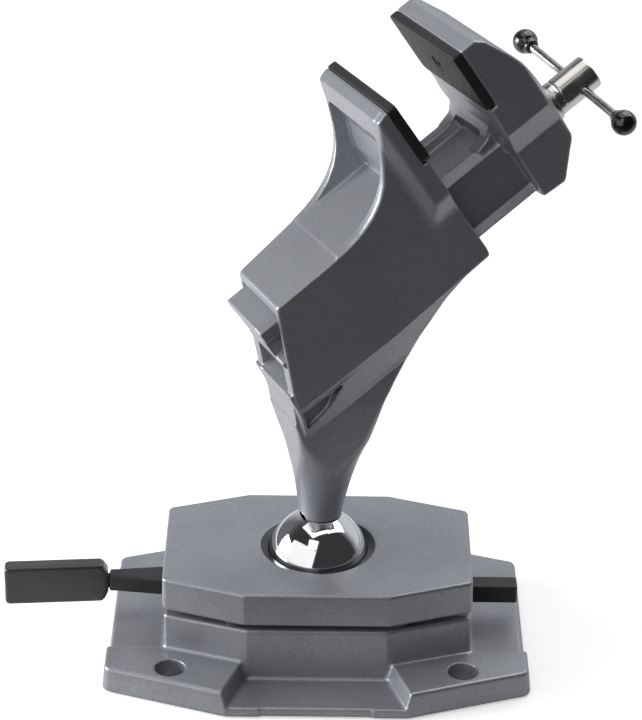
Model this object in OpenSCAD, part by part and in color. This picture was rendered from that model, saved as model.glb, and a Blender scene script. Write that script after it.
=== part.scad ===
// Ball-joint bench vise on a bolt-down base.
// Millimetres. +Z up, origin on the underside of the base below the ball, front towards -Y.
// The head frame starts at the ball centre, with +X along the slide towards the moving jaw.

/* [Base] */
// Width of the bolt-down flange
flange_w = 134; // [130:1:144]
// Bore of the two mounting holes
hole_d = 9.5; // [8:0.5:10.5]
// Distance between the two mounting holes
hole_spacing = 92; // [88:1:96]
// Width of the octagonal cover plate
cover_w = 98; // [98:1:102]
// Thickness of the octagonal cover plate
cover_t = 11.2; // [10.8:0.1:12]

/* [Clamp lever] */
// Swing of the clamp lever from its drawn position
lever_angle = 0; // [-16:1:16]
// Length of the lever grip
grip_len = 32.5; // [28:0.5:40]

/* [Vise] */
// Width of both jaws
jaw_w = 50; // [48:1:54]
// Opening between the jaw pads
jaw_gap = 22; // [0.1:0.1:40]
// Height of the jaw pads
pad_h = 22; // [20:1:22]
// Length of the tommy bar
tommy_len = 58; // [50:1:66]

/* [Pose] */
// Turn of the head about the upright axis
head_pan = 24.26; // [-180:0.01:180]
// Rise of the jaw slide above level
head_rise = 32.92; // [10:0.01:60]
// Sideways lean of the head
head_lean = 5.31; // [-15:0.01:15]

/* [Hidden] */
$fn = 96;
clearance = 0.05;         // running clearance on a radius
ball_r = 16;
ball_z = 29.7;
stem_lean = 39;           // lean of the stem axis from the head's upright
axis_z = 74.8;            // spindle axis in the head frame
pin_r = 1.5;

// Jaw and pad places in the head frame
pad_x = 100.1;            // face of the fixed pad
pad_t = 3;
pad_screw_z = 110;
pad_screw_r = 1.5;
jaw_top = 121.4;
drawn_gap = 22;           // opening at which the moving parts are drawn
jaw_travel = jaw_gap - drawn_gap;
fixed_seat_x = pad_x - pad_t;
moving_seat_x = pad_x + drawn_gap + pad_t;

paint = [0.42, 0.43, 0.46];
black = [0.08, 0.08, 0.09];
steel = [0.75, 0.76, 0.78];
bronze = [0.72, 0.55, 0.30];

// ---- Frames ----
module head() translate([0, 0, ball_z]) rotate([-head_lean, -head_rise, head_pan]) children();
module stem() head() rotate([0, stem_lean, 0]) children();
module moving() head() translate([jaw_travel, 0, 0]) children();
module spin() moving() translate([0, 0, axis_z]) rotate([0, 90, 0]) children();
module lever() rotate([0, 0, lever_angle]) children();
module grip_frame() lever() translate([-66, 0, 0]) rotate([0, 0, 5]) children();

// ---- Shape helpers ----
// A half outline followed by its mirror image, in reverse order
function mirrored(half, flip) = concat(half,
  [for (i = [len(half) - 1 : -1 : 0]) [half[i].x * flip.x, half[i].y * flip.y]]);

// An x-z profile, extruded symmetrically along y
module side(width) rotate([90, 0, 0]) linear_extrude(width, center = true) children();

// A profile from its half outline in (y, z), extruded along x
module front(x_from, x_to, half) translate([x_from, 0, 0]) rotate([90, 0, 90])
  linear_extrude(x_to - x_from) polygon(mirrored(half, [-1, 1]));

// A plan from its half outline in (x, y), extruded along z
module plan(z_from, z_to, half) translate([0, 0, z_from])
  linear_extrude(z_to - z_from) polygon(mirrored(half, [1, -1]));

// A cylinder along +x, centred on y = 0
module rod_x(x, z, r, length) translate([x, 0, z]) rotate([0, 90, 0]) cylinder(r = r, h = length);

// side_y: half length of the straight sides; end_x: half length of the front and back edges
module octagon(half_w, side_y, end_x, half_d) polygon([
  [-half_w, -side_y], [-end_x, -half_d], [end_x, -half_d], [half_w, -side_y],
  [half_w, side_y], [end_x, half_d], [-end_x, half_d], [-half_w, side_y]]);

// ---- Base ----
flange_x = flange_w / 2;
block_h = 20.6;
cover_z = 22.6;
cover_top = cover_z + cover_t;
sill_h = 3.1;
wing_h = 7.7;
lug_h = 8.5;
shelf_z = 13.6;           // floor of the clamp seat
ring_bore_r = 15.8;       // bore of the thrust washer and cam ring
cover_screw_x = 25;
cover_screw_y = 25.5;
cover_screw_r = 2.5;
cover_screw_hole_r = 2.6;

// Right-hand lug in (x, y), in two overlapping parts
lug_outer = [[flange_x, -24], [flange_x, -35], [31, -48.3], [22.6, -30], [40, -24]];
lug_inner = [[22, -27], [22.6, -31], [31, -48.3], [48, -30], [48, -20], [30, -20]];

module at_cover_screws(z)
  for (x = [-cover_screw_x, cover_screw_x], y = [-cover_screw_y, cover_screw_y])
    translate([x, y, z]) children();

module base_casting() color(paint) difference() {
  union() {
    // wings, with a low sill across the front
    linear_extrude(sill_h) octagon(flange_x - 0.4, 35, 28.3, 48.7);
    difference() {
      linear_extrude(wing_h) octagon(flange_x - 0.9, 35.2, 28.3, 48.7);
      translate([-29, -49, sill_h]) cube([58, 19, 10]);
    }
    // raised lugs at the front corners, with slanting inner ends
    for (s = [-1, 1], outline = [lug_outer, lug_inner])
      linear_extrude(lug_h) polygon([for (point = outline) [s * point.x, point.y]]);
    // block under the cover
    linear_extrude(block_h) octagon(cover_w / 2 - 0.5, 22.7, 21.9, 31.6);
  }
  // seat of the clamp mechanism
  translate([0, 0, shelf_z]) cylinder(r = 25, h = 20);
  translate([0, 0, 8]) cylinder(r = 14, h = 20);
  // side windows for the swinging lever and its stub
  translate([-60, -20.5, 14.2]) cube([120, 41, 20]);
  for (s = [-1, 1]) {
    // pocket in the underside
    translate([s * 36.5 - 7, -17, -1]) cube([14, 34, 10.5]);
    // mounting hole
    translate([s * hole_spacing / 2, -34.5, -1]) cylinder(d = hole_d, h = 20);
  }
  // cover screw holes, counterbored from below
  at_cover_screws(-1) {
    cylinder(r = cover_screw_hole_r, h = 40);
    cylinder(r = 4.6, h = 7);
  }
}

module cover_plate() color(paint) difference() {
  translate([0, 0, cover_z]) linear_extrude(cover_t) octagon(cover_w / 2, 22.9, 22.9, 32.2);
  // straight entry below the ball's equator, spherical seat above it
  translate([0, 0, cover_z - 1]) cylinder(r = ball_r + clearance, h = ball_z - cover_z + 1);
  translate([0, 0, ball_z]) sphere(r = ball_r + clearance);
  // flared rim
  translate([0, 0, cover_top - 1.2]) cylinder(r1 = 15.8, r2 = 18.6, h = 1.2);
  translate([0, 0, cover_top - 0.01]) cylinder(r = 18.6, h = 1);
  at_cover_screws(cover_z - 1) cylinder(r = cover_screw_r, h = 8.5);
}

module cover_screws() color(steel) at_cover_screws(0) difference() {
  union() {
    translate([0, 0, 1]) cylinder(r = 4.25, h = 5);
    translate([0, 0, 5.9]) cylinder(r = cover_screw_r, h = 23.6);
  }
  // hex socket
  translate([0, 0, 0.5]) cylinder(r = 2.3, h = 3.2, $fn = 6);
}

module spacer_sleeves() color(steel) at_cover_screws(block_h) difference() {
  cylinder(r = 4.2, h = cover_z - block_h);
  translate([0, 0, -1]) cylinder(r = cover_screw_hole_r, h = 6);
}

module thrust_washer() color(bronze) translate([0, 0, shelf_z]) difference() {
  cylinder(r = 24.2, h = 0.8);
  translate([0, 0, -1]) cylinder(r = ring_bore_r, h = 3);
}

module seat_ring() color(bronze) difference() {
  union() {
    translate([0, 0, 18.2]) cylinder(r = 15.4, h = 4);
    translate([0, 0, 20.95]) cylinder(r = 21.5, h = 1.5);
  }
  translate([0, 0, ball_z]) sphere(r = ball_r + clearance);
}

// ---- Clamp lever ----
cam_z = 14.45;
cam_h = 6.1;
bar_z = 16.6;
bar_t = 5.8;
bar_half = [[-23.1, 4.45], [-51, 4.3], [-64, 2.6], [-67, 2.4]];
// tang of the bar inside the grip
tang_z = 17.4;
tang_w = 3.2;
tang_h = 4;
// x, z of the grip's side view in the grip frame
grip_side = [[-2.8, 25.7], [-1.5, 23.7], [-1.5, 16.6], [-2.8, 13.8], [-3.8, 13],
  [-grip_len - 1.2, 13], [-grip_len - 2.2, 14], [-grip_len - 2.2, 25.5],
  [-grip_len - 1.2, 26.5], [-3.8, 26.5]];

module lever_pin_rods(z, length)
  for (x = [-34, -27.5]) translate([x, 0, z]) cylinder(r = pin_r, h = length);

module cam_ring() color(black) lever() difference() {
  union() {
    translate([0, 0, cam_z]) cylinder(r = 23.8, h = cam_h);
    // low lobes under the flange of the seat ring
    for (a = [30, 150, 270]) rotate([0, 0, a]) translate([16.5, -2, 20.5]) cube([4, 4, 0.4]);
    // lug for the bar, and the stub opposite
    translate([-37, -7.5, cam_z]) cube([18, 15, cam_h]);
    translate([18, -3.4, cam_z]) cube([46.3, 6.8, cam_h]);
  }
  translate([0, 0, 14]) cylinder(r = ring_bore_r, h = 10);
  // notch for the bar
  translate([-40, -4.5, bar_z]) cube([17, 9, 10]);
  lever_pin_rods(14, 10);
}

module lever_bar() color(black) difference() {
  union() {
    lever() plan(bar_z, bar_z + bar_t, bar_half);
    grip_frame() translate([-26, -tang_w / 2, tang_z]) cube([27, tang_w, tang_h]);
  }
  lever() lever_pin_rods(14, 10);
}

module lever_pins() color(steel) lever() lever_pin_rods(14.6, 7.7);

module lever_grip() color(black) grip_frame() difference() {
  side(5.8) polygon(grip_side);
  translate([-26.1, -tang_w / 2 - clearance, tang_z - clearance])
    cube([40, tang_w + 2 * clearance, tang_h + 2 * clearance]);
}

// ---- Ball and stud ----
stud_r = 4;
stud_bore_r = stud_r + clearance;
lock_screw_r = 2.5;
lock_screw_z = 30;        // height along the stem

module ball() color(steel) head() difference() {
  sphere(r = ball_r);
  rotate([0, stem_lean, 0]) translate([0, 0, -2]) cylinder(r = stud_bore_r, h = 30);
}

module stem_stud() color(steel) stem() translate([0, 0, -1.9]) cylinder(r = stud_r, h = 42);

module stud_lock_screw() color(steel) stem()
  translate([stud_bore_r, 0, lock_screw_z]) rotate([0, 90, 0]) difference() {
    cylinder(r = lock_screw_r, h = 4.2);
    translate([0, 0, 1.9]) cylinder(r = 1.45, h = 4, $fn = 6);
  }

// ---- Head casting: stem, body and fixed jaw ----
spindle_r = 4;
shank_r = 4.5;            // spindle where it passes the moving jaw

// x, z of the body and fixed jaw
body_side = [[22.2, 54.4], [60, 55.4], [98.2, 58.6], [98.7, 61], [98.7, 99.2],
  [fixed_seat_x, 99.2], [fixed_seat_x, jaw_top - 0.3], [96.4, jaw_top],
  [93.2, 120.5], [92.2, 119.2], [90.3, 113], [87.4, 106.4], [84.4, 101.2], [80.5, 97.2],
  [75.8, 93.9], [70.4, 91.7], [64.5, 90.6], [57, 90], [36.6, 88.9], [35.5, 88.2],
  [30.8, 76.6], [24, 60.6]];
body_plan_half = [[0, -14.4], [98.8, -22]];
fixed_jaw_front_half = [[-jaw_w / 2, jaw_top + 1], [-jaw_w / 2, 88], [-21.4, 79]];
fixed_jaw_plan_half = [[86.5, -20.9], [92.4, -jaw_w / 2], [99, -jaw_w / 2]];

// x, z of the skirt, and of the hollow cut into each of its flanks
skirt_side = [[20, 44], [60.5, 44], [70, 50], [79.3, 53.6], [98.2, 58.6], [96, 61],
  [22.8, 61], [22.2, 54.4]];
skirt_front_half = [[-12.3, 43], [-18.6, 57], [-22, 64]];
skirt_hollow = [[21.6, 46.6], [30.5, 48], [38.5, 52.8], [37.5, 53.4], [23.2, 53.4]];

// Stem outlines in the stem frame: radius, z of the turned form; x, z; half of y, z
stem_turned = [[0, 13.4], [6.9, 13.4], [7.1, 17.5], [7.9, 22], [8.9, 27], [10.1, 31],
  [11.8, 35.5], [13.4, 39.7], [15.8, 46], [18.7, 53.7], [22, 62], [27, 70], [40, 90],
  [60, 110], [0, 110]];
stem_side = [[-10.5, 13], [-10.5, 30], [-12, 39], [-14.9, 47], [-18.3, 55.6], [-22, 64],
  [-24.6, 72], [-27, 76.3], [-27, 110], [45, 110], [30.2, 90], [22.9, 78.4], [18.9, 70.6],
  [15.6, 63], [12.9, 55], [12.2, 47], [11.6, 40], [10.6, 28], [10.6, 13]];
stem_front_half = [[-10.5, 13], [-10.5, 30], [-10.8, 34], [-11.5, 43], [-12.3, 56], [-13, 110]];
// x, z in the head frame, ending the stem inside the body
stem_limit = [[-20, -10], [120, -10], [98.4, 60], [24.1, 60.5], [22.2, 55.6], [19.7, 50],
  [-20, 50]];

bay_front_half = [[-16.5, 86.1], [-16.5, 67.1], [-18.7, 64.5], [-18.7, 63.9]];
jaw_hollow_front_half = [[-20.6, 113.8], [-15.6, 90.6]];
jaw_hollow_side = [[50, 90], [88.8, 90], [88.8, 98], [92, 106], [92, 114], [50, 114]];

module stem_solid() rotate([0, stem_lean, 0]) intersection() {
  translate([-0.7, 0, 0]) rotate_extrude() polygon(stem_turned);
  side(60) polygon(stem_side);
  rotate([0, 0, 90]) side(120) polygon(mirrored(stem_front_half, [-1, 1]));
}

module body_and_jaw() intersection() {
  side(60) polygon(body_side);
  union() {
    plan(50, 108, body_plan_half);
    // wide jaw on top of the body
    intersection() {
      front(60, 99, fixed_jaw_front_half);
      plan(70, 130, fixed_jaw_plan_half);
    }
  }
}

// drawn-in skirt between body and stem
module skirt() difference() {
  intersection() {
    side(60) polygon(skirt_side);
    front(10, 99, skirt_front_half);
    plan(40, 64, body_plan_half);
  }
  for (s = [-1, 1]) translate([0, s * 22, 0]) side(20) polygon(skirt_hollow);
}

module nut_pin_rod(y, length)
  translate([86, y, 61.9]) rotate([-90, 0, 0]) cylinder(r = pin_r, h = length);

module head_casting() color(paint) head() difference() {
  union() {
    body_and_jaw();
    skirt();
    intersection() {
      stem_solid();
      side(60) polygon(stem_limit);
    }
  }
  // ball seat, stud bore and lock screw hole
  sphere(r = ball_r + clearance);
  rotate([0, stem_lean, 0]) {
    translate([0, 0, 10]) cylinder(r = stud_bore_r, h = 30.2);
    rod_x(0, lock_screw_z, lock_screw_r, 20);
  }
  // guide for the slide, open at the low-x end, with a lower bay
  translate([10, -15.3, 68.95]) cube([66, 30.6, 17.1]);
  translate([10, -11, 60.4]) cube([52, 22, 10]);
  // wide bay at the high-x end, and the relief above it
  front(73.9, 110, bay_front_half);
  translate([92.8, -16.6, 80]) cube([10, 33.2, 19.2]);
  // hollow in the low-x side of the fixed jaw, between two ribs
  intersection() {
    front(50, 93, jaw_hollow_front_half);
    side(60) polygon(jaw_hollow_side);
  }
  // nut pocket, its pin and the pad screw
  translate([79.95, -6.3, 59.95]) cube([12.1, 12.6, 8]);
  nut_pin_rod(-8, 40);
  rod_x(90, pad_screw_z, pad_screw_r, 20);
}

// Pad and its screw, with x = 0 on the jaw and the gripping face towards +x
module pad_screw() translate([0, 0, pad_screw_z]) rotate([0, 90, 0]) difference() {
  union() {
    translate([0, 0, -5]) cylinder(r = pad_screw_r, h = 6.5);
    translate([0, 0, 1.2]) cylinder(r1 = pad_screw_r, r2 = 2.9, h = 1.4);
  }
  translate([0, 0, 1.5]) cylinder(r = 1, h = 2, $fn = 6);
}

module pad() difference() {
  translate([0, -jaw_w / 2, jaw_top - pad_h]) cube([pad_t, jaw_w, pad_h]);
  translate([-1, 0, pad_screw_z]) rotate([0, 90, 0]) {
    cylinder(r = pad_screw_r + clearance, h = 8);
    translate([0, 0, 2.2]) cylinder(r1 = pad_screw_r + clearance, r2 = 3.35, h = 1.8);
  }
}

module on_fixed_jaw() head() translate([fixed_seat_x, 0, 0]) children();
module on_moving_jaw() moving() translate([moving_seat_x, 0, 0]) mirror([1, 0, 0]) children();

module fixed_pad() color(black) on_fixed_jaw() pad();
module fixed_pad_screw() color(steel) on_fixed_jaw() pad_screw();
module moving_pad() color(black) on_moving_jaw() pad();
module moving_pad_screw() color(steel) on_moving_jaw() pad_screw();

module spindle_nut() color(bronze) head() difference() {
  translate([80, -6.25, 60]) cube([12, 12.5, 19.6]);
  rod_x(70, axis_z, spindle_r + clearance, 40);
  nut_pin_rod(-20, 40);
}

module nut_pin() color(steel) head() nut_pin_rod(-7.9, 28.4);

// ---- Moving jaw and slide ----
// x, z
moving_jaw_side = [[122.3, 61.6], [131, 61], [138.2, 69.4], [141.5, 73], [143.6, 77],
  [144, 80], [144, 86], [143, 92.4], [140.9, 100.4], [137.4, 110], [133.2, 118.8],
  [131.4, jaw_top - 0.3], [130.6, jaw_top], [moving_seat_x, jaw_top],
  [moving_seat_x, jaw_top - pad_h], [122.6, jaw_top - pad_h], [122.6, 94.4], [122, 91.4],
  [120.4, 88.6], [118, 86.8], [115, 86], [115, 80], [122.3, 80]];
moving_jaw_front_half = [[-20.4, 60], [-20.6, 80], [-jaw_w / 2, 89], [-jaw_w / 2, jaw_top + 1]];
moving_jaw_plan_half = [[114, -15.2], [120.9, -15.2], [122.3, -30], [138.6, -30],
  [139.2, -25], [141.8, -15], [144, -7.5]];
slide_half = [[-12.6, 86], [-15.2, 84.3], [-15.2, 80.5], [-10.4, 79.6], [-10.4, 72.4],
  [-15.2, 71.6], [-15.2, 69]];
slide_wide_half = [[-13.8, 86], [-16.4, 83.3], [-16.4, 67], [-18.4, 64.4], [-18.4, 64]];

module moving_jaw() color(paint) moving() difference() {
  union() {
    // slide, wider next to the jaw
    front(27.4, 97, slide_half);
    front(96, 123, slide_wide_half);
    intersection() {
      side(60) polygon(moving_jaw_side);
      front(100, 150, moving_jaw_front_half);
      plan(50, 130, moving_jaw_plan_half);
    }
  }
  // channel along the top of the slide
  front(62, 119.4, [[-9.6, 86.2], [-8, 83.3]]);
  front(114, 119.4, [[-9.6, 92], [-9.6, 86]]);
  // bay for the nut, open below
  translate([54, -6.5, 60]) cube([65, 13, 20]);
  rod_x(100, axis_z, shank_r + clearance, 60);
  rod_x(118, pad_screw_z, pad_screw_r, 13);
}

// ---- Spindle: z runs along its axis ----
neck_r = 3.2;             // groove for the clip
tommy_r = 1.4;
tommy_shift = -1;         // slide of the bar along its hole

module tommy_frame() translate([0, 0, 154.4]) rotate([90, 0, 13.2]) children();

module stop_pin_rod(length)
  translate([0, 0, 60.9]) rotate([90, 0, 0]) cylinder(r = 1, h = length, center = true);

module spindle() color(steel) spin() difference() {
  union() {
    translate([0, 0, 56]) cylinder(r = spindle_r, h = 61.9);
    translate([0, 0, 117.8]) cylinder(r = neck_r, h = 1.2);
    translate([0, 0, 118.95]) cylinder(r = shank_r, h = 26.1);
    // boss for the tommy bar
    translate([0, 0, 144.9]) cylinder(r = 5.7, h = 14.8);
    translate([0, 0, 159.7]) cylinder(r1 = 5.7, r2 = 4.9, h = 0.8);
  }
  tommy_frame() cylinder(r = tommy_r + clearance, h = 40, center = true);
  stop_pin_rod(20);
}

module spindle_washer() color(steel) spin() translate([0, 0, 144.02]) difference() {
  cylinder(r = 6.3, h = 0.86);
  translate([0, 0, -1]) cylinder(r = shank_r, h = 3);
}

module spindle_clip() color(steel) spin() translate([0, 0, 117.95]) difference() {
  cylinder(r = 5, h = 0.95);
  translate([0, 0, -1]) cylinder(r = neck_r, h = 3);
  translate([-1.5, -10, -1]) cube([3, 8, 4]);
}

module spindle_stop_pin() color(steel) spin() stop_pin_rod(9.4);

module tommy_bar() color(steel) spin() tommy_frame()
  translate([0, 0, tommy_shift]) cylinder(r = tommy_r, h = tommy_len + 3, center = true);

module tommy_knobs() color(black) spin() tommy_frame()
  for (s = [-1, 1]) translate([0, 0, tommy_shift + s * tommy_len / 2]) difference() {
    sphere(r = 4);
    translate([0, 0, s > 0 ? -5 : -1.6]) cylinder(r = tommy_r, h = 6.6);
  }

base_casting();
cover_plate();
cover_screws();
spacer_sleeves();
thrust_washer();
seat_ring();
cam_ring();
lever_bar();
lever_pins();
lever_grip();
ball();
stem_stud();
stud_lock_screw();
head_casting();
fixed_pad();
fixed_pad_screw();
spindle_nut();
nut_pin();
moving_jaw();
moving_pad();
moving_pad_screw();
spindle();
spindle_washer();
spindle_clip();
spindle_stop_pin();
tommy_bar();
tommy_knobs();
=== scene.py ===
"""Small bench vise whose head tilts on a chromed ball, clamped in the base by a lever.

Pieces are modelled in millimetres as distance fields (negative inside) and meshed in metres.
The base is centred on the origin with z up and its front at -y; the lever points to -x.
In the head frame the origin is the ball centre, x runs along the screw from the fixed to the
moving jaw, y across the jaws and z up to the jaw tops.
"""
import math
import bpy
import numpy as np
from mathutils import Matrix, Vector

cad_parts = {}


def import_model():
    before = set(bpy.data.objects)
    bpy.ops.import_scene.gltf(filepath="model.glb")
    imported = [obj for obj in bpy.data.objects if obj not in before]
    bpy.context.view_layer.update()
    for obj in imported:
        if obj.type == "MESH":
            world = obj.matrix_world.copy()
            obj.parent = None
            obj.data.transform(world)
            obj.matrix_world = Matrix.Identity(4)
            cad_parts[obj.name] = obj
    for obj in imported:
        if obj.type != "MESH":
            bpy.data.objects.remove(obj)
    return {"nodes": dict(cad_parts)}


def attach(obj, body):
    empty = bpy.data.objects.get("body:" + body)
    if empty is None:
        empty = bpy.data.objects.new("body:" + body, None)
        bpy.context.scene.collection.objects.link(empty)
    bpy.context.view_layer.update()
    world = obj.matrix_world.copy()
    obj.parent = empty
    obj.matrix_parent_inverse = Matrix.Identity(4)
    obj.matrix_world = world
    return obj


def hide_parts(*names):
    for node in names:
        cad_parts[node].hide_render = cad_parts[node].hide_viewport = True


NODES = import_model()["nodes"]
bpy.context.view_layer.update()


# ------------------------------------------------------------------ frames (rotation, origin)
def rotation(axis, degrees):
    angle = math.radians(degrees)
    cos, sin = math.cos(angle), math.sin(angle)
    if axis == "x":
        return np.array([[1, 0, 0], [0, cos, -sin], [0, sin, cos]])
    if axis == "y":
        return np.array([[cos, 0, sin], [0, 1, 0], [-sin, 0, cos]])
    return np.array([[cos, -sin, 0], [sin, cos, 0], [0, 0, 1]])


BALL_Z = 29.7         # height of the ball centre over the floor
STEM_TILT = 39        # degrees from head z to the stem, towards head +x
SCREW_Z = 74.8        # screw axis, in the head frame
TOMMY_Z = 154.4       # tommy bar axis, along the screw
TOMMY_TURN = 13.2     # degrees round the screw
LEVER_BEND_X = -66.0  # where the lever handle bends
LEVER_BEND = 5        # degrees

BALL_CENTRE = np.array([0.0, 0.0, BALL_Z])
HEAD_TURN = rotation("z", 24.26) @ rotation("y", -32.92) @ rotation("x", -5.31)
SCREW_TURN = HEAD_TURN @ rotation("y", 90)
SCREW_ORIGIN = BALL_CENTRE + HEAD_TURN @ np.array([0, 0, SCREW_Z])

WORLD = (np.eye(3), np.zeros(3))
HEAD = (HEAD_TURN, BALL_CENTRE)
STEM = (HEAD_TURN @ rotation("y", STEM_TILT), BALL_CENTRE)
GRIP = (rotation("z", LEVER_BEND), np.array([LEVER_BEND_X, 0.0, 0.0]))
SCREW = (SCREW_TURN, SCREW_ORIGIN)
TOMMY = (SCREW_TURN @ rotation("z", TOMMY_TURN) @ rotation("x", 90),
         SCREW_ORIGIN + SCREW_TURN @ np.array([0, 0, TOMMY_Z]))


# ------------------------------------------------------------------ distance fields
# A last argument to intersect, join, cut, box or cylinder is the radius rounding the edge.
def intersect(a, b, radius=0.0):
    sharp = np.maximum(a, b)
    if radius <= 0:
        return sharp
    u, v = np.maximum(a + radius, 0), np.maximum(b + radius, 0)
    return np.minimum(-radius, sharp) + np.sqrt(u * u + v * v)


def join(a, b, radius=0.0):
    return -intersect(-a, -b, radius)


def cut(a, b, radius=0.0):
    return intersect(a, -b, radius)


def slab(value, low, high):
    return np.maximum(low - value, value - high)


def box(x, y, z, x_span, y_span, z_span, radius=0.0):
    plan = intersect(slab(x, *x_span), slab(y, *y_span), radius)
    return intersect(plan, slab(z, *z_span), radius)


def rod(u, v, radius):
    """Endless round rod, or a ball when u is already a distance from an axis."""
    return np.sqrt(u * u + v * v) - radius


def cylinder(u, v, along, size, span, radius=0.0):
    return intersect(rod(u, v, size), slab(along, *span), radius)


def turned_axes(u, v, degrees):
    """Coordinates along and across an axis turned from u towards v."""
    angle = math.radians(degrees)
    cos, sin = math.cos(angle), math.sin(angle)
    return u * cos + v * sin, -u * sin + v * cos


def groove(value, place, width):
    """Bell curve of height 1 at a place."""
    return np.exp(-((value - place) / width) ** 2)


ARC_POINTS = 7


def rounded(points):
    """Outline from corners (u, v, radius), each rounded with an arc."""
    outline = []
    for i, (*corner, radius) in enumerate(points):
        corner = np.array(corner, float)
        before = np.array(points[i - 1][:2], float) - corner
        after = np.array(points[(i + 1) % len(points)][:2], float) - corner
        before_length, after_length = np.linalg.norm(before), np.linalg.norm(after)
        before, after = before / before_length, after / after_length
        half = math.acos(max(-1, min(1, float(before @ after)))) / 2
        if radius <= 0 or half > 1.55:
            outline.append(corner)
            continue
        reach = min(radius / math.tan(half), 0.48 * before_length, 0.48 * after_length)
        radius = reach * math.tan(half)
        middle = before + after
        centre = corner + middle / np.linalg.norm(middle) * radius / math.sin(half)
        start, end = corner + before * reach - centre, corner + after * reach - centre
        sweep = math.atan2(start[0] * end[1] - start[1] * end[0], float(start @ end))
        for j in range(ARC_POINTS):
            angle = sweep * j / (ARC_POINTS - 1)
            cos, sin = math.cos(angle), math.sin(angle)
            spoke = [start[0] * cos - start[1] * sin, start[0] * sin + start[1] * cos]
            outline.append(centre + np.array(spoke))
    return np.array(outline)


def octagon(side, end):
    """Outline symmetric in x and y from its two corners (x, y, radius) where x, y > 0."""
    (side_x, side_y, side_r), (end_x, end_y, end_r) = side, end
    right = [(side_x, side_y, side_r), (end_x, end_y, end_r)]
    back = right + [(-x, y, radius) for x, y, radius in reversed(right)]
    return rounded(back + [(x, -y, radius) for x, y, radius in reversed(back)])


def prism(u, v, outline):
    """Endless prism: signed distance to an outline."""
    nearest = inside = None
    for i in range(len(outline)):
        a, b = outline[i - 1], outline[i]
        edge_u, edge_v = b - a
        from_u, from_v = u - a[0], v - a[1]
        share = (from_u * edge_u + from_v * edge_v) / (edge_u * edge_u + edge_v * edge_v)
        share = np.clip(share, 0, 1)
        gap_u, gap_v = from_u - share * edge_u, from_v - share * edge_v
        square = gap_u * gap_u + gap_v * gap_v
        cross = edge_u * from_v - edge_v * from_u
        rising = (a[1] <= v) & (b[1] > v) & (cross > 0)
        crossed = rising | ((a[1] > v) & (b[1] <= v) & (cross < 0))
        nearest = square if nearest is None else np.minimum(nearest, square)
        inside = crossed if inside is None else inside ^ crossed
    return np.where(inside, -1.0, 1.0) * np.sqrt(nearest)


# ------------------------------------------------------------------ meshing
CORNERS = [(i, j, k) for i in (0, 1) for j in (0, 1) for k in (0, 1)]
TETRAHEDRON = ((1, 1, 1), (1, -1, -1), (-1, 1, -1), (-1, -1, 1))
GRADIENT_REACH = 0.02


def crossed_cells(values, inside):
    """Grid cells the surface crosses, and in each the mean of its edge crossings."""
    nx, ny, nz = values.shape
    views = [inside[i:nx - 1 + i, j:ny - 1 + j, k:nz - 1 + k] for i, j, k in CORNERS]
    cells = np.argwhere(np.logical_or.reduce(views) & ~np.logical_and.reduce(views))
    total, count = np.zeros((len(cells), 3)), np.zeros(len(cells))
    value = {corner: values[tuple((cells + corner).T)].astype(float) for corner in CORNERS}
    for corner in CORNERS:
        for axis in range(3):
            if corner[axis] == 1:
                continue
            far = list(corner)
            far[axis] = 1
            start, end = value[corner], value[tuple(far)]
            crossed = (start < 0) != (end < 0)
            point = np.tile(np.array(corner, float), (len(cells), 1))
            point[:, axis] += np.where(crossed, start / np.where(crossed, start - end, 1), 0)
            total += point * crossed[:, None]
            count += crossed
    return cells, cells + total / count[:, None]


def crossing_quads(inside, cells):
    """One quad of cell indices round every grid edge the surface crosses."""
    index = np.full([n - 1 for n in inside.shape], -1, np.int32)
    index[tuple(cells.T)] = np.arange(len(cells))
    quads = []
    for axis in range(3):
        second, third = (axis + 1) % 3, (axis + 2) % 3
        near, far = [slice(1, -1)] * 3, [slice(1, -1)] * 3
        near[axis], far[axis] = slice(0, -1), slice(1, None)
        starts, ends = inside[tuple(near)], inside[tuple(far)]
        edges = np.argwhere(starts != ends)
        leaving = starts[tuple(edges.T)]
        edges[:, second] += 1
        edges[:, third] += 1
        around = []
        for second_shift, third_shift in ((-1, -1), (0, -1), (0, 0), (-1, 0)):
            cell = edges.copy()
            cell[:, second] += second_shift
            cell[:, third] += third_shift
            around.append(index[tuple(cell.T)])
        quad = np.stack(around, 1)
        quad[~leaving] = quad[~leaving][:, ::-1]
        quads.append(quad)
    return np.concatenate(quads)


def gradient(field, points):
    total = np.zeros_like(points)
    for direction in TETRAHEDRON:
        direction = np.array(direction, float)
        near = points + GRADIENT_REACH * direction
        total += field(near[:, 0], near[:, 1], near[:, 2])[:, None] * direction
    return total / (4 * GRADIENT_REACH)


def pull(field, points, step, repeats):
    """Move points down the gradient onto the surface."""
    for _ in range(repeats):
        slope = gradient(field, points)
        value = field(points[:, 0], points[:, 1], points[:, 2])
        move = value / np.maximum((slope * slope).sum(1), 0.15)
        points = points - slope * np.clip(move, -0.5 * step, 0.5 * step)[:, None]
    return points


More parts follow.
